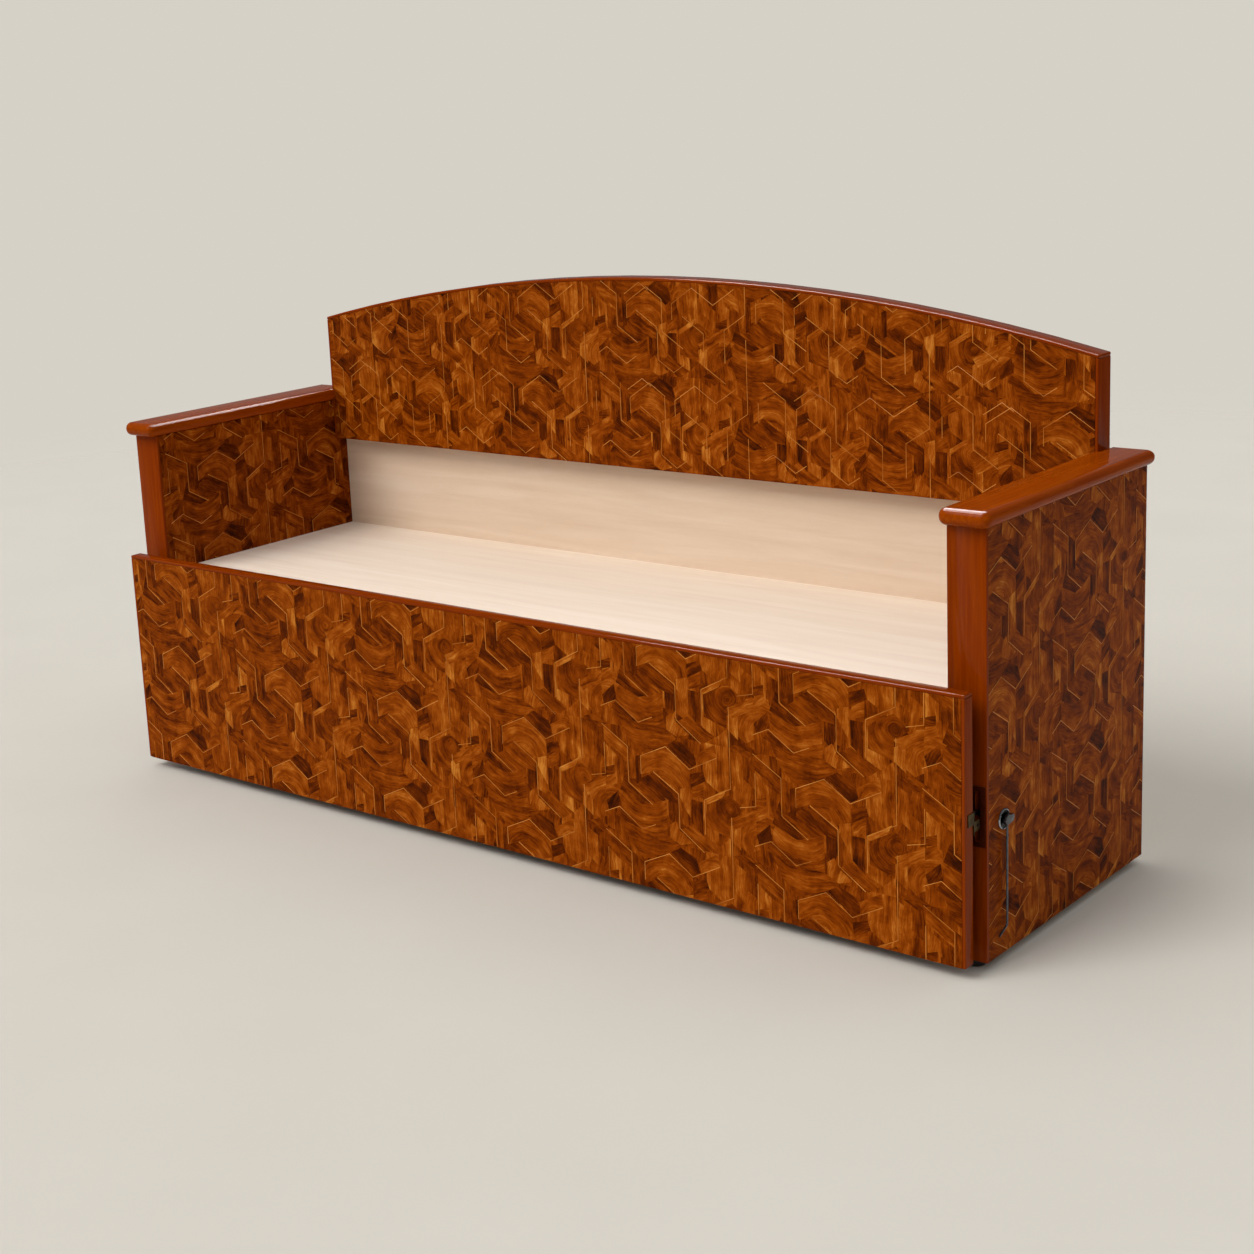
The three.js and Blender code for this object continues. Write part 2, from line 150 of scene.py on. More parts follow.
def eased(node, material, radius):
    """A copy of a CAD node whose long edges are rounded over."""
    work = bmesh.new()
    work.from_mesh(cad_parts[node].data)
    bmesh.ops.remove_doubles(work, verts=work.verts, dist=1e-5)
    bmesh.ops.dissolve_limit(work, angle_limit=math.radians(1), verts=work.verts, edges=work.edges)
    for face in work.faces:
        face.smooth = True
    mesh = bpy.data.meshes.new(node + "_eased")
    work.to_mesh(mesh)
    work.free()
    piece = new_piece(node + "_eased", mesh, material)
    rounding = piece.modifiers.new("rounded edges", "BEVEL")
    rounding.width = radius
    rounding.segments = 3
    rounding.angle_limit = math.radians(40)
    rounding.harden_normals = True
    return baked(piece)


for side in ("left", "right"):
    node = f"arm_{side}_front_post"
    attach(eased(node, hardwood_along_z, 0.0016), "carcass", "solid_wood", node)

# Arm caps
# Thick solid hardwood boards glued on top of the arms, with a routed round nose all round and two
# rounded front corners. Each is notched to stand round the end of the back panel.
cap_nose, nose_steps = 0.0125, 8
cap_corner, corner_steps = 0.0145, 9
joint_gap = 0.0003
cap_shades = ("#7c2e00", "#873500", "#903c00", "#984400")
hardwood_along_y = lacquered_hardwood("lacquered_hardwood_of_caps", "Y", cap_shades)


def cap_outline(side, inset):
    """The outline of a cap drawn in by inset, seen from above."""
    low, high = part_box(f"arm_{side}_cap")
    near, far = sorted((abs(low.x), abs(high.x)))
    panel_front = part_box("back_panel")[0].y - joint_gap
    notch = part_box("back_right_lipping")[1].x + 2 * joint_gap
    points = [(notch + inset, high.y - inset), (notch + inset, panel_front - inset),
              (near + inset, panel_front - inset)]
    for centre, start in ((near + cap_corner, 180), (far - cap_corner, 270)):
        for step in range(corner_steps + 1):
            turn = math.radians(start + 90 * step / corner_steps)
            points.append((centre + (cap_corner - inset) * math.cos(turn),
                           low.y + cap_corner + (cap_corner - inset) * math.sin(turn)))
    points.append((far - inset, high.y - inset))
    flip = 1 if side == "right" else -1
    return [(flip * x, y) for x, y in points]


for side in ("left", "right"):
    low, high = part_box(f"arm_{side}_cap")
    work = bmesh.new()
    rings = []
    for end, sign in ((low.z + cap_nose, -1), (high.z - cap_nose, 1)):
        for step in range(nose_steps + 1):
            turn = math.radians(90 * step / nose_steps)
            if sign < 0:
                turn = math.radians(90) - turn
            inset = cap_nose * (1 - math.cos(turn))
            z = end + sign * cap_nose * math.sin(turn)
            rings.append([work.verts.new((x, y, z)) for x, y in cap_outline(side, inset)])
    work.faces.new(rings[0])
    work.faces.new(rings[-1])
    for lower, upper in zip(rings, rings[1:]):
        for k in range(len(lower)):
            work.faces.new((lower[k - 1], lower[k], upper[k], upper[k - 1]))
    bmesh.ops.recalc_face_normals(work, faces=work.faces)
    for face in work.faces:
        face.smooth = True
    mesh = bpy.data.meshes.new(f"cap_{side}")
    work.to_mesh(mesh)
    work.free()
    mesh.set_sharp_from_angle(angle=math.radians(35))
    attach(new_piece(f"cap_{side}", mesh, hardwood_along_y), "carcass", "solid_wood", f"arm_{side}_cap")

# Boards of the arms
# Plywood faced on both sides with marquetry: figured brown veneers cut to angular pieces on a lattice of
# 60 mm sides, their grain straight or curved, pressed edge to edge and lacquered to an even shine.
arm_lattices = {"outer": {"origin": (-0.0343, 0.6725), "units": (0.0493, 0.0311)},
                "inner": {"origin": (-0.2272, 0.6684), "units": (0.0524, 0.0295)}}
veneer_period = (6, 6)
grain_reach = 2
# Each piece: its tone from 0 dark to 1 light, its grain as an angle or the centre of its arcs, its outline.
# Places are in lattice steps. Straight grain is an arc whose centre is grain_reach metres away.
veneer_pieces = [
    (0.50, (1.65, -2.4), [(1, -3), (2, -4), (2.5, -3.65), (2.5, -5.6), (1.9, -6.1), (1.4, -5.6),
                          (0.62, -4.75), (0.62, -3.5)]),
    (0.34, -30, [(1, -2.9), (1.6, -2.65), (2.5, -3.65), (2.02, -3.95), (1.02, -3.1)]),
    (0.08, 90, [(2.57, -3.2), (3, -3.2), (3, -4.5), (2.8, -5), (2.57, -4.6)]),
    (0.62, 90, [(3.02, -3.2), (3.6, -2.7), (4.02, -3.2), (4.02, -5.4), (3.02, -4.7)]),
    (0.82, 90, [(4.05, -3.15), (4.55, -2.75), (4.55, -5.6), (4.05, -5.2)]),
    (0.45, 90, [(4.55, -3.3), (4.98, -3), (4.98, -5), (4.55, -5.6)]),
    (0.92, 90, [(4.98, -4.3), (5.4, -3.9), (5.4, -5.5), (4.98, -5)]),
    (0.60, (6.3, -5), [(5.4, -4.1), (5.75, -3.2), (6.4, -2.95), (7, -3.2), (6.6, -4), (6.1, -4.4),
                       (6.1, -5.2), (5.7, -5.6), (5.4, -5.3)]),
    (0.12, 60, [(0, -4.45), (0.52, -3.7), (0.6, -4.55), (0.1, -5)]),
    (0.20, -30, [(0.35, -5.1), (0.54, -4.65), (1.42, -5.6), (1, -5.55)]),
    (0.42, (1.9, -1.5), [(0.6, -5.3), (1.45, -5.65), (2.5, -5.6), (3, -6.1), (2.5, -6.6), (1.5, -7.3),
                         (0.9, -6.4)]),
    (0.78, 70, [(2.6, -5), (2.85, -4.7), (3, -5.2), (3.5, -5.75), (3, -6), (2.6, -5.7)]),
    (0.46, -30, [(3.08, -5.1), (3.5, -4.7), (4.5, -5.6), (4.05, -6.1)]),
    (0.02, -30, [(2.6, -6.55), (3, -6.15), (3.62, -6.55), (3.75, -7.3), (3.46, -7.6)]),
    (0.66, (4.3, -7.4), [(3.7, -6.75), (4.5, -6), (4.55, -6.7), (3.8, -7.3)]),
    (0.62, (2.35, -9.2), [(1.52, -7.5), (2.52, -6.7), (3.45, -7.65), (3.45, -8.6), (2.98, -8.95),
                          (2, -8.15), (1.52, -8.5)]),
    (0.05, 90, [(1.28, -7.55), (1.5, -7.4), (1.5, -8.9), (1.28, -9.1)]),
    (0.55, -30, [(0, -6.15), (0.97, -7.1), (0.97, -7.9), (0, -6.95)]),
    (0.84, 90, [(0.05, -7.2), (0.5, -7.7), (0.5, -9.3), (0.05, -9.6)]),
    (0.44, 90, [(0.5, -7.7), (0.95, -8), (0.95, -8.7), (0.6, -9.4)]),
    (0.10, -30, [(0.9, -8.3), (1, -9.2), (1.9, -10), (1.5, -10.2), (0.6, -9.6)]),
    (0.28, -30, [(1.5, -8.7), (2, -8.25), (2.95, -9.15), (2.95, -9.7), (2.5, -9.6), (1.9, -9.2)]),
    (0.95, 80, [(3.05, -8.85), (3.45, -8.65), (3.45, -10.3), (3.3, -10), (3.05, -9.3)]),
    (0.08, 90, [(3.5, -9.3), (3.95, -9.3), (3.95, -11.2), (3.5, -10.6)]),
    (0.88, 30, [(4.05, -9.1), (4.9, -8.3), (4.6, -9.2), (4.1, -9.35)]),
    (0.58, 30, [(3.55, -8.6), (4, -8.2), (4, -9), (3.55, -9.25)]),
    (0.12, 30, [(3.47, -7.9), (4, -7.6), (4.1, -8.1), (3.5, -8.65)]),
    (0.40, (5.05, -9.4), [(4.1, -9.4), (4.98, -8.6), (5.6, -9.2), (5, -10), (4.98, -11), (4.1, -10.6)]),
    (0.70, 30, [(4.98, -9.9), (6.4, -8.8), (6.5, -9.3), (5.2, -10.4)]),
    (0.22, 0, [(5.85, -2.6), (6.4, -2.3), (6.4, -2.8), (5.85, -3.1)]),
    (0.30, -30, [(5.1, -5.9), (5.7, -6.4), (6.2, -6), (5.6, -5.6)]),
    (0.64, 90, [(5.1, -6.2), (5.55, -6.6), (5.55, -8.4), (5.1, -7.9)]),
]


def veneer_cell():
    """One repeat of the marquetry as triangles in lattice steps, with the piece that each is cut from."""
    step_i, step_j = veneer_period
    chance = random.Random(7)
    staves = []
    for i in range(step_i):
        for j in range(step_j):
            if (i + j) % 2 == 0 and (j // 2) % 2 == 0:
                corners = [(i, j), (i + 1, j - 1), (i + 1, j + 3), (i, j + 4)]
                staves.append((chance.uniform(0.3, 0.72), 90 + chance.choice((0, 0, 12, -12)), corners))
    layers = [(0.5, 90, [(0, 0), (step_i, 0), (step_i, step_j), (0, step_j)], (0, 0), 0)]
    for number, (tone, grain, corners) in enumerate(staves + veneer_pieces):
        for shift_i in range(-12, 18, step_i):
            for shift_j in range(-12, 24, step_j):
                moved = [(i + shift_i, j + shift_j) for i, j in corners]
                if (max(i for i, _ in moved) > 0 and min(i for i, _ in moved) < step_i
                        and max(j for _, j in moved) > 0 and min(j for _, j in moved) < step_j):
                    turning = sum(a[0] * b[1] - a[1] * b[0] for a, b in zip(moved, moved[1:] + moved[:1]))
                    anticlockwise = moved if turning > 0 else moved[::-1]
                    layers.append((tone, grain, anticlockwise, (shift_i, shift_j), number))
    points = [Vector(corner) for layer in layers for corner in layer[2]]
    faces = []
    for layer in layers:
        first = faces[-1][-1] + 1 if faces else 0
        faces.append(list(range(first, first + len(layer[2]))))
    flat, _, triangles, _, _, sources = delaunay_2d_cdt(points, [], faces, 1, 1e-5)
    return flat, [(triangle, layers[max(source)]) for triangle, source in zip(triangles, sources) if 0 in source]


def veneered_board(name, material, outline, lattice, thickness, to_point):
    """A closed board whose two faces are cut into veneer pieces.

    to_point places a point of the outline in the board's front face, and thickness runs to its other face.
    Each face carries the centre of its grain's arcs in metres, a number of its own, and its tone.
    """
    (u0, v0), (du, dv) = lattice["origin"], lattice["units"]
    step_i, step_j = veneer_period
    work = bmesh.new()
    centre_layer = work.faces.layers.float_vector.new("grain_centre")
    tone_layer = work.faces.layers.float.new("veneer_tone")
    columns = [math.floor((u - u0) / du / step_i) for u, _ in outline]
    rows = [math.floor((v - v0) / dv / step_j) for _, v in outline]
    for column in range(min(columns), max(columns) + 1):
        for row in range(min(rows), max(rows) + 1):
            made = [work.verts.new((u0 + (i + column * step_i) * du, v0 + (j + row * step_j) * dv, 0))
                    for i, j in cell_points]
            for triangle, (tone, grain, corners, shift, number) in cell_triangles:
                face = work.faces.new([made[k] for k in triangle])
                if isinstance(grain, tuple):
                    centre = (u0 + (grain[0] + shift[0] + column * step_i) * du,
                              v0 + (grain[1] + shift[1] + row * step_j) * dv)
                else:
                    turn = math.radians(grain + 90)
                    centre = (u0 + (corners[0][0] + column * step_i) * du + grain_reach * math.cos(turn),
                              v0 + (corners[0][1] + row * step_j) * dv + grain_reach * math.sin(turn))
                face[centre_layer] = (*centre, 0.37 * number + 1.7 * column + 2.9 * row)
                face[tone_layer] = tone
    bmesh.ops.remove_doubles(work, verts=work.verts, dist=2e-5)
    for (au, av), (bu, bv) in zip(outline, outline[1:] + outline[:1]):
        bmesh.ops.bisect_plane(work, geom=work.verts[:] + work.edges[:] + work.faces[:], dist=1e-6,
                               plane_co=(au, av, 0), plane_no=(bv - av, au - bu, 0), clear_outer=True)
    bmesh.ops.delete(work, geom=[v for v in work.verts if not v.link_faces], context="VERTS")
    # The far face repeats the near one, and a quad on each edge of the rim closes the board.
    rim = [(edge, edge.link_faces[0]) for edge in work.edges if edge.is_boundary]
    behind = {vertex: work.verts.new((vertex.co.x, vertex.co.y, thickness)) for vertex in work.verts[:]}
    added = [([behind[vertex] for vertex in reversed(face.verts)], face) for face in work.faces]
    for edge, face in rim:
        start, end = edge.verts
        added.append(((start, end, behind[end], behind[start]), face))
    for corners, face in added:
        grown = work.faces.new(corners)
        grown[centre_layer] = face[centre_layer]
        grown[tone_layer] = face[tone_layer]
    for vertex in work.verts:
        vertex.co = to_point(*vertex.co)
    bmesh.ops.recalc_face_normals(work, faces=work.faces)
    mesh = bpy.data.meshes.new(name)
    work.to_mesh(mesh)
    work.free()
    return new_piece(name, mesh, material)


def rectangle(low_u, high_u, low_v, high_v):
    """A rectangular outline, anticlockwise."""
    return [(low_u, low_v), (high_u, low_v), (high_u, high_v), (low_u, high_v)]


def marquetry(name, across):
    """Figured veneer under lacquer; each piece's grain follows arcs round its own centre.

    Fibres are drawn 2.5 mm wide, colour bands 12 mm and darker clouds 30 mm, and each piece has its own tone.
    """
    material, tree, shader = start_material(name, IOR=1.5, Specular_IOR_Level=0.015)
    place = put(tree, "ShaderNodeTexCoord").outputs["Object"]
    parts = put(tree, "ShaderNodeSeparateXYZ", {0: place})
    flat = put(tree, "ShaderNodeCombineXYZ", {0: parts.outputs[across], 1: parts.outputs["Z"], 2: 0.0})
    centre = put(tree, "ShaderNodeAttribute", attribute_name="grain_centre").outputs["Vector"]
    centre_parts = put(tree, "ShaderNodeSeparateXYZ", {0: centre})
    number = centre_parts.outputs[2]
    middle = put(tree, "ShaderNodeCombineXYZ", {0: centre_parts.outputs[0], 1: centre_parts.outputs[1], 2: 0.0})
    tone = put(tree, "ShaderNodeAttribute", attribute_name="veneer_tone").outputs["Fac"]
    wander = put(tree, "ShaderNodeTexNoise", {"Vector": flat, "W": number, "Scale": 38.0, "Detail": 2.0},
                 noise_dimensions="4D").outputs["Color"]
    even = put(tree, "ShaderNodeVectorMath", {0: wander, 1: (0.5, 0.5, 0.5)}, operation="SUBTRACT")
    bent = put(tree, "ShaderNodeVectorMath", {0: even, 1: (0.012, 0.012, 0.0), 2: flat}, operation="MULTIPLY_ADD")
    from_centre = put(tree, "ShaderNodeVectorMath", {0: bent, 1: middle}, operation="DISTANCE").outputs["Value"]
    bent_parts = put(tree, "ShaderNodeSeparateXYZ", {0: bent})
    grain_place = put(tree, "ShaderNodeCombineXYZ", {
        0: from_centre,
        1: put(tree, "ShaderNodeMath", {0: bent_parts.outputs[0], 1: 0.09}, operation="MULTIPLY"),
        2: put(tree, "ShaderNodeMath", {0: bent_parts.outputs[1], 1: 0.09}, operation="MULTIPLY")})
    fibre = put(tree, "ShaderNodeTexNoise", {
        "Vector": grain_place, "W": number, "Scale": 400.0, "Detail": 4.0, "Roughness": 0.65},
        noise_dimensions="4D")
    bands = put(tree, "ShaderNodeTexNoise", {
        "Vector": grain_place, "W": number, "Scale": 85.0, "Detail": 2.0}, noise_dimensions="4D")
    clouds = put(tree, "ShaderNodeTexNoise", {
        "Vector": bent, "W": number, "Scale": 34.0, "Detail": 3.0, "Roughness": 0.6}, noise_dimensions="4D")
    value = put(tree, "ShaderNodeMath", {0: tone, 1: 0.33, 2: -0.455}, operation="MULTIPLY_ADD")
    value = put(tree, "ShaderNodeMath", {0: fibre, 1: 0.55, 2: value}, operation="MULTIPLY_ADD")
    value = put(tree, "ShaderNodeMath", {0: bands, 1: 0.5, 2: value}, operation="MULTIPLY_ADD")
    value = put(tree, "ShaderNodeMath", {0: clouds, 1: 0.5, 2: value}, operation="MULTIPLY_ADD")
    shade = put(tree, "ShaderNodeValToRGB", {0: value}, stops=[
        (0.2, "#2e0f03"), (0.36, "#582102"), (0.5, "#7e3603"), (0.62, "#994c0e"), (0.78, "#c2792a")])
    gloss = put(tree, "ShaderNodeMapRange", {0: fibre, 1: 0.3, 2: 0.7, 3: 0.16, 4: 0.26})
    relief = put(tree, "ShaderNodeBump", {"Height": value, "Strength": 0.05, "Distance": 0.0004})
    tree.links.new(shade.outputs[0], shader.inputs["Base Color"])
    tree.links.new(gloss.outputs[0], shader.inputs["Roughness"])
    tree.links.new(relief.outputs[0], shader.inputs["Normal"])
    return material


cell_points, cell_triangles = veneer_cell()
marquetry_along_y = marquetry("lacquered_marquetry_on_arms", "Y")
for side in ("left", "right"):
    for layer in ("inner", "outer"):
        node = f"arm_{side}_{layer}_board"
        low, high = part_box(node)
        board = veneered_board(f"{node}_veneered", marquetry_along_y, rectangle(low.y, high.y, low.z, high.z),
                               arm_lattices[layer], high.x - low.x, lambda u, v, depth: (low.x + depth, u, v))
        attach(board, "carcass", "marquetry_veneer", node)

# Inner frame of the arms
# Plain sawn and planed softwood, a rear post and two rails in each arm, screwed between the boards.
# Left bare, so it is dry, pale and matt.


def bare_softwood(name, along):
    """Planed softwood without finish: growth lines 2 to 8 mm apart and a dry matt surface."""
    material, tree, shader = start_material(name, IOR=1.5, Specular_IOR_Level=0.3)
    place = put(tree, "ShaderNodeTexCoord").outputs["Object"]
    stretch = [1.0 if axis == along else 45.0 for axis in "XYZ"]
    lengthwise = put(tree, "ShaderNodeMapping", {"Vector": place, "Scale": stretch})
    lines = put(tree, "ShaderNodeTexNoise", {
        "Vector": lengthwise, "Scale": 2.8, "Detail": 4.0, "Roughness": 0.55, "Distortion": 0.5})
    fibre = put(tree, "ShaderNodeTexNoise", {"Vector": lengthwise, "Scale": 19.0, "Detail": 2.0})
    figure = put(tree, "ShaderNodeMath", {0: fibre, 1: 0.25, 2: lines}, operation="MULTIPLY_ADD")
    shade = put(tree, "ShaderNodeValToRGB", {0: figure}, stops=[
        (0.42, "#b48c60"), (0.58, "#cba67b"), (0.72, "#d8b892"), (0.9, "#e4cbaa")])
    rough = put(tree, "ShaderNodeMapRange", {0: fibre, 1: 0.3, 2: 0.7, 3: 0.6, 4: 0.8})
    relief = put(tree, "ShaderNodeBump", {"Height": figure, "Strength": 0.25, "Distance": 0.0006})
    tree.links.new(shade.outputs[0], shader.inputs["Base Color"])
    tree.links.new(rough.outputs[0], shader.inputs["Roughness"])
    tree.links.new(relief.outputs[0], shader.inputs["Normal"])
    return material


softwood_along_x = bare_softwood("bare_softwood_grain_along_x", "X")
softwood_along_y = bare_softwood("bare_softwood_grain_along_y", "Y")
softwood_along_z = bare_softwood("bare_softwood_grain_along_z", "Z")
for side in ("left", "right"):
    finish_nodes(softwood_along_z, f"arm_{side}_rear_post")
    finish_nodes(softwood_along_y, f"arm_{side}_bottom_rail", f"arm_{side}_top_rail")

# Glides under the arms
# Moulded black polypropylene feet nailed to the posts, four in all.
# A fine spark-eroded texture from the mould keeps them matt.


def moulded_plastic(name, dark, light, roughness):
    """Moulded plastic with a 0.4 mm grained skin; the grain is drawn at 1 mm so that it shows."""
    material, tree, shader = start_material(name, IOR=1.49)
    place = put(tree, "ShaderNodeTexCoord").outputs["Object"]
    skin = put(tree, "ShaderNodeTexNoise", {"Vector": place, "Scale": 1000.0, "Detail": 2.0})
    cloud = put(tree, "ShaderNodeTexNoise", {"Vector": place, "Scale": 60.0, "Detail": 3.0})
    shade = put(tree, "ShaderNodeValToRGB", {0: cloud}, stops=[(0.3, dark), (0.7, light)])
    rough = put(tree, "ShaderNodeMapRange", {0: cloud, 1: 0.3, 2: 0.7, 3: roughness, 4: roughness + 0.12})
    relief = put(tree, "ShaderNodeBump", {"Height": skin, "Strength": 0.2, "Distance": 0.0002})
    tree.links.new(shade.outputs[0], shader.inputs["Base Color"])
    tree.links.new(rough.outputs[0], shader.inputs["Roughness"])
    tree.links.new(relief.outputs[0], shader.inputs["Normal"])
    return material


black_plastic = moulded_plastic("moulded_black_polypropylene", "#141312", "#22201f", 0.5)
for side in ("left", "right"):
    for end in ("front", "rear"):
        node = f"glide_{side}_{end}"
        attach(eased(node, black_plastic, 0.0015), "carcass", "glide_plastic", node)

# Arched back panel
# A thick board faced with the same marquetry, cut to a low arch and edged on its top and ends with
# solid hardwood lippings whose front edges are rounded over.
back_lattice = {"origin": (-0.145, 0.8086), "units": (0.0486, 0.0312)}

low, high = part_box("back_panel")
back_half, crown = high.x, high.z
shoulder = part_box("back_right_lipping")[1].z
arch_radius = (back_half ** 2 + (crown - shoulder) ** 2) / (2 * (crown - shoulder))
arch_steps = 40
arch = []
for k in range(arch_steps + 1):
    x = back_half - 2 * back_half * k / arch_steps
    arch.append((x, crown - arch_radius + math.sqrt(arch_radius ** 2 - x ** 2)))
back_outline = [(-back_half, low.z), (back_half, low.z)] + arch
marquetry_along_x = marquetry("lacquered_marquetry_on_panels", "X")
board = veneered_board("back_panel_veneered", marquetry_along_x, back_outline, back_lattice, high.y - low.y,
                       lambda u, v, depth: (u, low.y + depth, v))
attach(board, "carcass", "marquetry_veneer", "back_panel")
attach(eased("back_top_lipping", hardwood_along_x, 0.0018), "carcass", "solid_wood", "back_top_lipping")
for side in ("left", "right"):
    node = f"back_{side}_lipping"
    attach(eased(node, hardwood_along_z, 0.0018), "carcass", "solid_wood", node)

# Seat board and lower back board
# Rotary-cut birch plywood, 12 mm thick, sanded and left bare. The wide pale veneer has a soft wavy
# figure along its length, and the plies show as thin lines on the sawn edges.


def birch_ply(name, up_axis, thickness_start, shades):
    """Bare birch plywood in three face shades; the figure is 8 to 30 mm wide and the edge lines 1.5 mm apart."""
    material, tree, shader = start_material(name, IOR=1.5, Specular_IOR_Level=0.14)
    place = put(tree, "ShaderNodeTexCoord").outputs["Object"]
    lengthwise = put(tree, "ShaderNodeMapping", {"Vector": place, "Scale": (1.0, 15.0, 15.0)})
    waves = put(tree, "ShaderNodeTexNoise", {
        "Vector": lengthwise, "Scale": 2.2, "Detail": 5.0, "Roughness": 0.6, "Distortion": 0.5})
    fibre = put(tree, "ShaderNodeTexNoise", {"Vector": lengthwise, "Scale": 50.0, "Detail": 3.0})
    figure = put(tree, "ShaderNodeMath", {0: fibre, 1: 0.22, 2: waves}, operation="MULTIPLY_ADD")
    face_shade = put(tree, "ShaderNodeValToRGB", {0: figure}, stops=list(zip((0.4, 0.6, 0.8), shades)))
    parts = put(tree, "ShaderNodeSeparateXYZ", {0: place})
    two_plies = 0.003
    depth = put(tree, "ShaderNodeMath", {
        0: parts.outputs[up_axis], 1: 1 / two_plies, 2: -thickness_start / two_plies}, operation="MULTIPLY_ADD")
    turn = put(tree, "ShaderNodeMath", {0: depth}, operation="FRACT")
    plies = put(tree, "ShaderNodeValToRGB", {0: turn}, stops=[
        (0.0, "#e8cda9"), (0.46, "#e3c69f"), (0.5, "#a9804f"), (0.95, "#b58c5a"), (1.0, "#8e6a41")])
    normal = put(tree, "ShaderNodeNewGeometry").outputs["Normal"]
    facing = put(tree, "ShaderNodeSeparateXYZ", {0: normal}).outputs[up_axis]
    flat = put(tree, "ShaderNodeMath", {0: facing}, operation="ABSOLUTE")
    is_face = put(tree, "ShaderNodeMath", {0: flat, 1: 0.7}, operation="GREATER_THAN")
    shade = put(tree, "ShaderNodeMix", {0: is_face, 6: plies, 7: face_shade}, data_type="RGBA")
    rough = put(tree, "ShaderNodeMapRange", {0: fibre, 1: 0.3, 2: 0.7, 3: 0.55, 4: 0.7})
    relief = put(tree, "ShaderNodeBump", {"Height": figure, "Strength": 0.08, "Distance": 0.0004})
    tree.links.new(shade.outputs[2], shader.inputs["Base Color"])
    tree.links.new(rough.outputs[0], shader.inputs["Roughness"])
    tree.links.new(relief.outputs[0], shader.inputs["Normal"])
    return material


pale_birch = ("#dfcab6", "#e4d1bc", "#e8d7c4")
# The lower back board is the same bare birch as the seat, drawn in darker shades: painted shade for the shade it sits
# in, set back under the back panel and behind the seat.
birch_shades_in_painted_shade = ("#d3b99f", "#d9c1a8", "#dfc9b2")
finish_nodes(birch_ply("birch_ply_seat", "Z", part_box("seat_board")[0].z, pale_birch), "seat_board")
finish_nodes(birch_ply("birch_ply_lower_back_in_painted_shade", "Y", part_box("lower_back_board")[0].y, birch_shades_in_painted_shade), "lower_back_board")

# Seat frame, floor rail and runners
# Planed softwood rails and cleats screwed to the arms, which carry the seat board and tie the arms
# together, and two waxed runners that the bed base slides along.
finish_nodes(softwood_along_x, "seat_front_rail", "seat_rear_rail", "rear_floor_rail")
finish_nodes(softwood_along_y, "seat_left_cleat", "seat_right_cleat", "seat_centre_bearer",
             "runner_left", "runner_right")

# Front panel of the bed base
# The widest marquetry board, as long as the whole sofa, with a solid hardwood lipping along its top
# and ends. It stands proud of the arms and is pulled forward with the base.
front_lattice = {"origin": (0.276, 0.303), "units": (0.0521, 0.0318)}

low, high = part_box("front_panel")
board = veneered_board("front_panel_veneered", marquetry_along_x, rectangle(low.x, high.x, low.z, high.z),
                       front_lattice, high.y - low.y, lambda u, v, depth: (u, low.y + depth, v))
attach(board, "pull_out_base", "marquetry_veneer", "front_panel")
attach(eased("front_top_lipping", hardwood_along_x, 0.0016), "pull_out_base", "solid_wood", "front_top_lipping")
for side in ("left", "right"):
    node = f"front_{side}_lipping"
    attach(eased(node, hardwood_along_z, 0.0016), "pull_out_base", "solid_wood", node)

# Frame and board of the bed base
# Grooved softwood sides, three cross rails and a birch ply board that becomes the front half of the bed.
finish_nodes(softwood_along_y, "base_left_side", "base_right_side")
finish_nodes(softwood_along_x, "base_front_rail", "base_middle_rail", "base_rear_rail")
finish_nodes(birch_ply("birch_ply_base", "Z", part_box("base_board")[0].z, pale_birch), "base_board")

# Casters under the base
# Pressed and zinc-plated steel forks screwed under the sides, each with a grey nylon wheel on a rivet.


def worn_metal(name, dark, light, roughness):
    """Metal with a plated, blackened or aged skin: faint clouding and 1 mm rub marks in the gloss."""
    material, tree, shader = start_material(name, Metallic=1.0)
    place = put(tree, "ShaderNodeTexCoord").outputs["Object"]
    cloud = put(tree, "ShaderNodeTexNoise", {"Vector": place, "Scale": 90.0, "Detail": 4.0})
    rubs = put(tree, "ShaderNodeTexNoise", {"Vector": place, "Scale": 900.0, "Detail": 2.0})
    shade = put(tree, "ShaderNodeValToRGB", {0: cloud}, stops=[(0.3, dark), (0.7, light)])
    rough = put(tree, "ShaderNodeMapRange", {0: rubs, 1: 0.3, 2: 0.7, 3: roughness, 4: roughness + 0.14})
    relief = put(tree, "ShaderNodeBump", {"Height": rubs, "Strength": 0.04, "Distance": 0.0002})
    tree.links.new(shade.outputs[0], shader.inputs["Base Color"])
    tree.links.new(rough.outputs[0], shader.inputs["Roughness"])
    tree.links.new(relief.outputs[0], shader.inputs["Normal"])
    return material


zinc_steel = worn_metal("zinc_plated_steel", "#7d8084", "#a4a7aa", 0.32)
dark_steel = worn_metal("blackened_steel", "#17181b", "#2e2f34", 0.22)
grey_nylon = moulded_plastic("moulded_grey_nylon", "#47474a", "#5a5a5d", 0.45)
for side in ("left", "right"):
    for end in ("front", "rear"):
        fork = f"caster_fork_{side}_{end}"
        finish_nodes(zinc_steel, fork)
        wheel = f"caster_wheel_{side}_{end}"
        attach(eased(wheel, grey_nylon, 0.0008), f"wheel_{side}_{end}", "wheel_plastic", wheel)

# Release lever on the right arm
# A turned rose with a chromed rim round a dark dish, a polished hub that turns on a steel spindle, and a thin
# rod that hangs from it with its tip bent forward for a finger. The hooked tongue behind holds the base.
chrome = worn_metal("polished_chrome", "#8b8e94", "#a9acb1", 0.1)
brass = worn_metal("aged_brass", "#3c2f17", "#5a4824", 0.34)
bronzed_steel = worn_metal("bronzed_steel", "#64290f", "#743319", 0.42)
bright_steel = worn_metal("burnished_steel", "#45464a", "#64666b", 0.12)


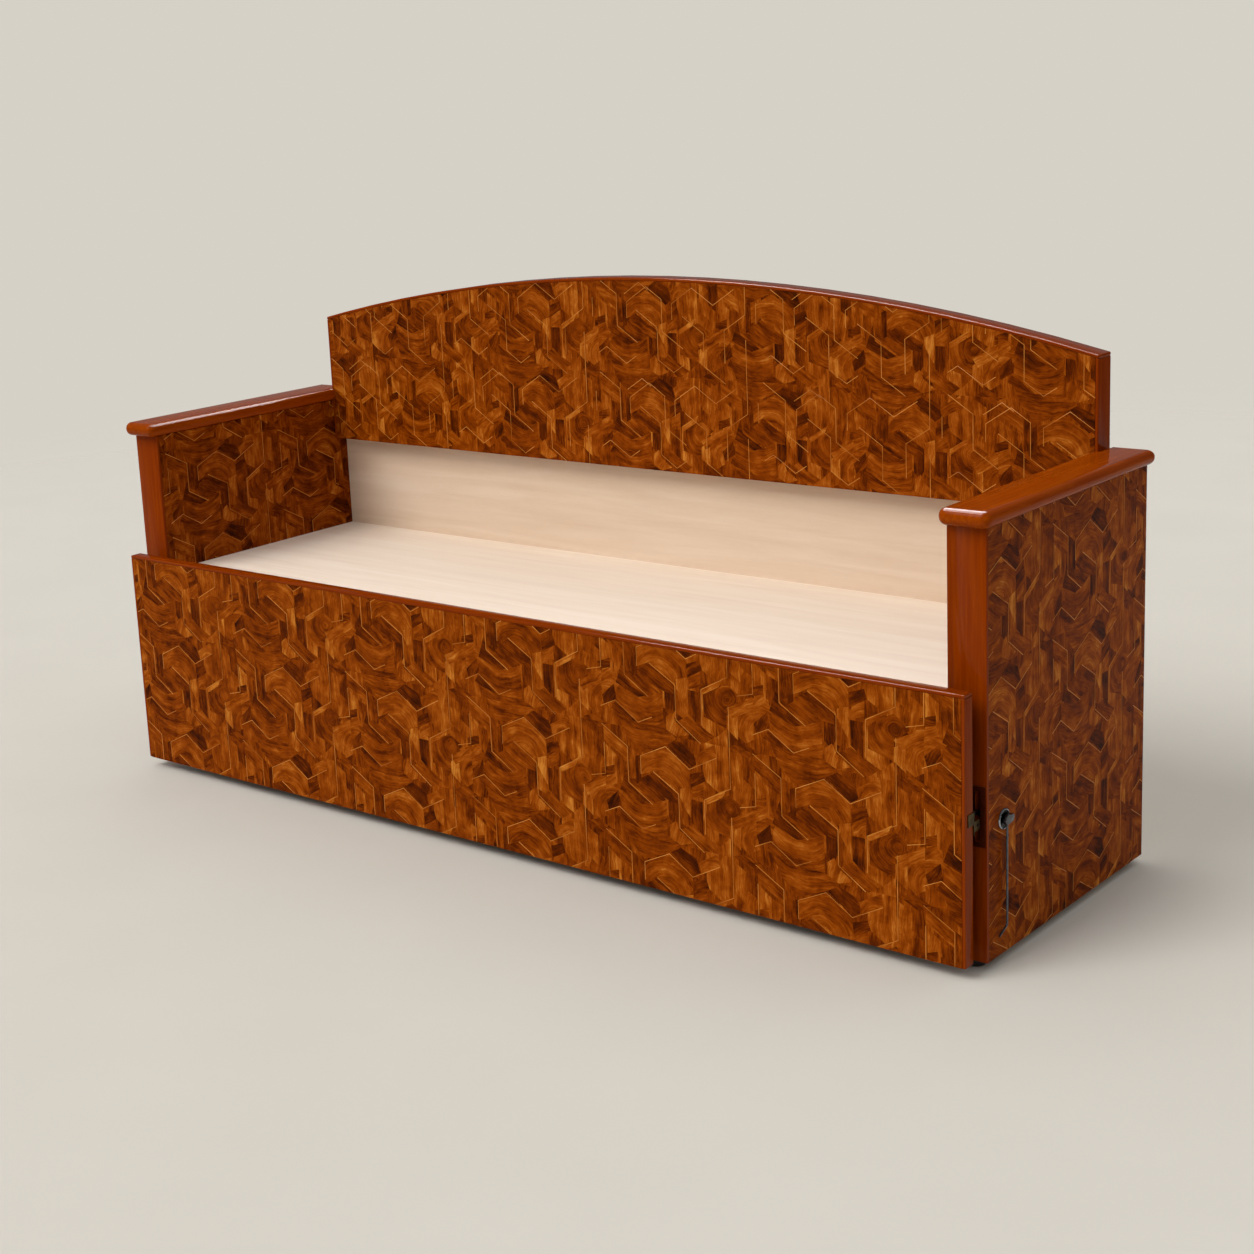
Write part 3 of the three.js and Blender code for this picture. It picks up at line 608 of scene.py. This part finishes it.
def turned(name, profile, centre, material):
    """A turned ring: a closed profile of (along X, radius) pairs in metres, swept round an axis along X."""
    work = bmesh.new()
    rings = []
    turn_steps = 48
    for step in range(turn_steps):
        turn = math.radians(360 * step / turn_steps)
        rings.append([work.verts.new((centre.x + along, centre.y + radius * math.cos(turn),
                                      centre.z + radius * math.sin(turn))) for along, radius in profile])
    for k, ring in enumerate(rings):
        for j in range(len(ring)):
            work.faces.new((rings[k - 1][j - 1], rings[k - 1][j], ring[j], ring[j - 1]))
    bmesh.ops.recalc_face_normals(work, faces=work.faces)
    for face in work.faces:
        face.smooth = True
    mesh = bpy.data.meshes.new(name)
    work.to_mesh(mesh)
    work.free()
    mesh.set_sharp_from_angle(angle=math.radians(35))
    return new_piece(name, mesh, material)


low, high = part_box("lever_rose")
middle = Vector((low.x, (low.y + high.y) / 2, (low.z + high.z) / 2))
rim_profile = [(0, 0.0135), (0, 0.017), (0.0012, 0.017), (0.0022, 0.0166), (0.0028, 0.0159), (0.003, 0.0151),
               (0.0027, 0.0143), (0.0021, 0.0138), (0.0014, 0.0135)]
dish_profile = [(0, 0.0051), (0, 0.01345), (0.0012, 0.01345), (0.0009, 0.009), (0.0012, 0.0051)]
attach(turned("rose_rim", rim_profile, middle, chrome), "carcass", "chrome", "lever_rose")
attach(turned("rose_dish", dish_profile, middle, dark_steel), "carcass", "dark_steel")
attach(eased("lever_hub", bright_steel, 0.0009), "release_lever", "chrome", "lever_hub")
finish_nodes(brass, "lever_bush")
finish_nodes(bright_steel, "lever_rod")
finish_nodes(dark_steel, "lever_spindle", "latch_tongue")
finish_nodes(bronzed_steel, "latch_face_plate")

# Striker on the bed base
# A bent brass plate screwed to the back of the front panel, with the steel pin that the tongue hooks.
finish_nodes(brass, "striker_plate")
finish_nodes(dark_steel, "striker_pin")

# Inlaid lines in the marquetry
# Pale satinwood stringing about 1.3 mm wide, let into the veneer in angular chains and lacquered over.
# The chains repeat with the sheets of marquetry and are cut off at the edges of each board.
string_radius = 0.0009
string_proud = 0.0003
narrow_motif = {
    "period": (6, 6),
    "chains": [
        [(-0.07, -0.08), (0.97, -1.08), (0.97, -3.09), (1.92, -4.07)],
        [(2, -2.2), (3, -3.15), (3, -5.05), (3.95, -6.1)],
        [(1.5, -2.48), (1.5, -1.46), (2.53, -0.66), (3.46, -1.65), (4.54, -0.72)],
        [(-0.07, 0.92), (0.54, 1.39), (1.46, 0.4), (2.02, 0.82)],
        [(5.06, 2.2), (5.05, -2.25), (4.03, -3.15), (4.02, -5.08)],
        [(0, 4.9), (0, 3.1), (-0.6, 2.85)],
    ],
}
wide_motif = {
    "period": (8, 6),
    "chains": [
        [(0, 0), (1, -1), (1, -3), (2, -4)],
        [(1.5, -2.5), (1.5, -1.5), (2.5, -0.5), (3.25, -1.25), (3.25, -3.25), (4.25, -4.25)],
        [(2, -2), (3, -3), (3, -5), (3.75, -5.75), (4.25, -5.25)],
        [(3.75, -2.5), (3.75, -1.5), (4.75, -0.5), (5.75, -1.5), (6.75, -0.5)],
        [(4.25, -2.25), (5.25, -3.25), (5.25, -5.25), (6.25, -6.25)],
        [(7.25, 2.5), (7.25, -2), (6.25, -3), (6.25, -5)],
        [(0, 1.25), (0.4, 1.65), (1.4, 0.65), (1.9, 1.15)],
        [(-0.25, 4.75), (-0.25, 3.5)],
        [(1.4, 5), (2.15, 5.75), (2.6, 5.3)],
    ],
}


def clipped(start, end, edge):
    """The part of a line inside a convex outline drawn anticlockwise, or None."""
    enter, leave = 0.0, 1.0
    run = (end[0] - start[0], end[1] - start[1])
    for (ax, ay), (bx, by) in zip(edge, edge[1:] + edge[:1]):
        inward = (ay - by, bx - ax)
        gap = inward[0] * (start[0] - ax) + inward[1] * (start[1] - ay)
        rate = inward[0] * run[0] + inward[1] * run[1]
        if abs(rate) < 1e-12:
            if gap < 0:
                return None
        elif rate > 0:
            enter = max(enter, -gap / rate)
        else:
            leave = min(leave, -gap / rate)
    if leave - enter < 1e-4:
        return None
    return [(start[0] + t * run[0], start[1] + t * run[1]) for t in (enter, leave)]


def add_strings(work, lattice, motif, edge, to_point):
    """Draws the chains of a motif over a board as edges, inside the board's outline."""
    (u0, v0), (du, dv) = lattice["origin"], lattice["units"]
    step_i, step_j = motif["period"]
    for column in range(-8, 9):
        for row in range(-6, 7):
            for chain in motif["chains"]:
                points = [(u0 + (i + column * step_i) * du, v0 + (j + row * step_j) * dv) for i, j in chain]
                for start, end in zip(points, points[1:]):
                    kept = clipped(start, end, edge)
                    if kept:
                        work.edges.new([work.verts.new(to_point(*point)) for point in kept])


def string_tree():
    """Geometry Nodes that turn drawn edges into thin round strings."""
    tree = bpy.data.node_groups.new("inlaid_strings", "GeometryNodeTree")
    tree.interface.new_socket("Edges", in_out="INPUT", socket_type="NodeSocketGeometry")
    radius = tree.interface.new_socket("Radius", in_out="INPUT", socket_type="NodeSocketFloat")
    finish = tree.interface.new_socket("Finish", in_out="INPUT", socket_type="NodeSocketMaterial")
    tree.interface.new_socket("Strings", in_out="OUTPUT", socket_type="NodeSocketGeometry")
    given = put(tree, "NodeGroupInput")
    paths = put(tree, "GeometryNodeMeshToCurve", {"Mesh": given.outputs["Edges"]})
    section = put(tree, "GeometryNodeCurvePrimitiveCircle", {"Resolution": 8, "Radius": given.outputs["Radius"]})
    strings = put(tree, "GeometryNodeCurveToMesh", {"Curve": paths, "Profile Curve": section, "Fill Caps": True})
    real = put(tree, "GeometryNodeRealizeInstances", {"Geometry": strings})
    coloured = put(tree, "GeometryNodeSetMaterial", {"Geometry": real, "Material": given.outputs["Finish"]})
    put(tree, "NodeGroupOutput", {0: coloured})
    return tree, radius.identifier, finish.identifier


def satinwood(name):
    """Pale golden stringing under lacquer, a little darker here and there along its length."""
    material, tree, shader = start_material(name, IOR=1.5, Specular_IOR_Level=0.04)
    place = put(tree, "ShaderNodeTexCoord").outputs["Object"]
    change = put(tree, "ShaderNodeTexNoise", {"Vector": place, "Scale": 18.0, "Detail": 3.0})
    shade = put(tree, "ShaderNodeValToRGB", {0: change}, stops=[
        (0.32, "#9a571b"), (0.5, "#b8722a"), (0.7, "#d0893d")])
    rough = put(tree, "ShaderNodeMapRange", {0: change, 1: 0.3, 2: 0.7, 3: 0.25, 4: 0.35})
    tree.links.new(shade.outputs[0], shader.inputs["Base Color"])
    tree.links.new(rough.outputs[0], shader.inputs["Roughness"])
    return material


def make_strings(name, work, body):
    """Finishes the strings drawn on one body."""
    bmesh.ops.remove_doubles(work, verts=work.verts, dist=1e-5)
    mesh = bpy.data.meshes.new(name)
    work.to_mesh(mesh)
    work.free()
    piece = new_piece(name, mesh, None)
    modifier = piece.modifiers.new("strings", "NODES")
    modifier.node_group = strings_made
    modifier[radius_input] = string_radius
    modifier[finish_input] = string_finish
    attach(baked(piece), body, "marquetry_veneer")


strings_made, radius_input, finish_input = string_tree()
string_finish = satinwood("lacquered_satinwood_stringing")
sunk = string_radius - string_proud

low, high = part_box("front_panel")
front_strings = bmesh.new()
add_strings(front_strings, front_lattice, narrow_motif, rectangle(low.x, high.x, low.z, high.z),
            lambda u, v: (u, low.y + sunk, v))
make_strings("strings_on_front", front_strings, "pull_out_base")

carcass_strings = bmesh.new()
back_face_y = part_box("back_panel")[0].y + sunk
add_strings(carcass_strings, back_lattice, wide_motif, back_outline, lambda u, v: (u, back_face_y, v))
for side, sign in (("left", -1), ("right", 1)):
    low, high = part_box(f"arm_{side}_outer_board")
    outer_x = sign * (max(abs(low.x), abs(high.x)) - sunk)
    add_strings(carcass_strings, arm_lattices["outer"], narrow_motif, rectangle(low.y, high.y, low.z, high.z),
                lambda u, v: (outer_x, u, v))
    inner_x = sign * (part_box("seat_right_cleat")[1].x + sunk)
    seat_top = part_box("seat_board")[1].z
    panel_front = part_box("back_panel")[0].y
    add_strings(carcass_strings, arm_lattices["inner"], narrow_motif,
                rectangle(low.y, panel_front, seat_top, high.z), lambda u, v: (inner_x, u, v))
make_strings("strings_on_arms_and_back", carcass_strings, "carcass")

# Studio
# A plain pale floor that runs out into a background of its own colour, one broad soft light from the
# front left, a pale surround that is darker in reflections, and a softbox overhead that only they show.
floor_radius = 8.0
work = bmesh.new()
bmesh.ops.create_circle(work, cap_ends=True, segments=96, radius=floor_radius)
mesh = bpy.data.meshes.new("studio_floor")
work.to_mesh(mesh)
work.free()
material, tree, shader = start_material("matt_studio_floor", Roughness=0.9, Specular_IOR_Level=0.0)
place = put(tree, "ShaderNodeTexCoord").outputs["Object"]
mottle = put(tree, "ShaderNodeTexNoise", {"Vector": place, "Scale": 3.0, "Detail": 2.0})
shade = put(tree, "ShaderNodeValToRGB", {0: mottle}, stops=[(0.3, "#cbc6bc"), (0.7, "#cdc8be")])
tree.links.new(shade.outputs[0], shader.inputs["Base Color"])
out_from_middle = put(tree, "ShaderNodeVectorMath", {0: place}, operation="LENGTH").outputs["Value"]
fade = put(tree, "ShaderNodeMapRange", {0: out_from_middle, 1: 3.0, 2: 6.0, 3: 0.0, 4: 1.0},
           interpolation_type="SMOOTHSTEP")
clear = put(tree, "ShaderNodeBsdfTransparent")
blended = put(tree, "ShaderNodeMixShader", {0: fade, 1: shader, 2: clear})
tree.links.new(blended.outputs[0], tree.nodes["Material Output"].inputs["Surface"])
floor = new_piece("studio_floor", mesh, material)

world = bpy.data.worlds.new("studio")
world.use_nodes = True
tree = world.node_tree
tree.nodes.clear()
rays = put(tree, "ShaderNodeLightPath")
direction = put(tree, "ShaderNodeSeparateXYZ", {0: put(tree, "ShaderNodeTexCoord").outputs["Object"]})
even = put(tree, "ShaderNodeMath", {0: direction.outputs["X"], 1: -0.27, 2: 0.59}, operation="MULTIPLY_ADD")
even = put(tree, "ShaderNodeMath", {0: direction.outputs["Z"], 1: 0.2, 2: even}, operation="MULTIPLY_ADD")
dimmed = put(tree, "ShaderNodeMath", {0: rays.outputs["Is Glossy Ray"], 1: -0.75, 2: 1.0},
             operation="MULTIPLY_ADD")
strength = put(tree, "ShaderNodeMath", {0: even, 1: dimmed}, operation="MULTIPLY")
surround = put(tree, "ShaderNodeBackground", {"Color": linear("#ffffff"), "Strength": strength})
backdrop = put(tree, "ShaderNodeBackground", {"Color": linear("#d6d1c7"), "Strength": 1.0})
chosen = put(tree, "ShaderNodeMixShader", {0: rays.outputs["Is Camera Ray"], 1: surround, 2: backdrop})
put(tree, "ShaderNodeOutputWorld", {"Surface": chosen})
bpy.context.scene.world = world

key = bpy.data.lights.new("soft_key", "SUN")
key.energy = 1.85
key.angle = math.radians(32)
key_light = bpy.data.objects.new("soft_key", key)
key_light.rotation_euler = Vector((-0.35, -0.75, 0.9)).to_track_quat("Z", "Y").to_euler()
bpy.context.scene.collection.objects.link(key_light)

softbox = bpy.data.lights.new("overhead_softbox", "AREA")
softbox.shape = "RECTANGLE"
softbox.size, softbox.size_y = 2.4, 3.6
softbox.energy = 1100.0
softbox_light = bpy.data.objects.new("overhead_softbox", softbox)
softbox_light.location = (-0.5, 0.8, 3.2)
softbox_light.visible_diffuse = False
bpy.context.scene.collection.objects.link(softbox_light)

# Camera
# A 60 mm lens 1.4 m above the floor at the front right, turned a little to one side as in the picture.
yaw, pitch, roll = math.radians(40.865), math.radians(-12.885), math.radians(-2.945)
ahead = Vector((-math.sin(yaw) * math.cos(pitch), math.cos(yaw) * math.cos(pitch), math.sin(pitch)))
level_right = Vector((math.cos(yaw), math.sin(yaw), 0))
level_up = level_right.cross(ahead)
right = math.cos(roll) * level_right + math.sin(roll) * level_up
up = -math.sin(roll) * level_right + math.cos(roll) * level_up
lens = bpy.data.cameras.new("camera")
lens.sensor_width = 36.0
lens.lens = 59.92
lens.shift_x = 0.0687
lens.shift_y = -0.0584
camera = bpy.data.objects.new("camera", lens)
stand = Matrix.Translation((2.443612, -2.945646, 1.386159))
camera.matrix_world = stand @ Matrix((right, up, -ahead)).transposed().to_4x4()
bpy.context.scene.collection.objects.link(camera)
bpy.context.scene.camera = camera
bpy.context.scene.view_settings.view_transform = "Standard"
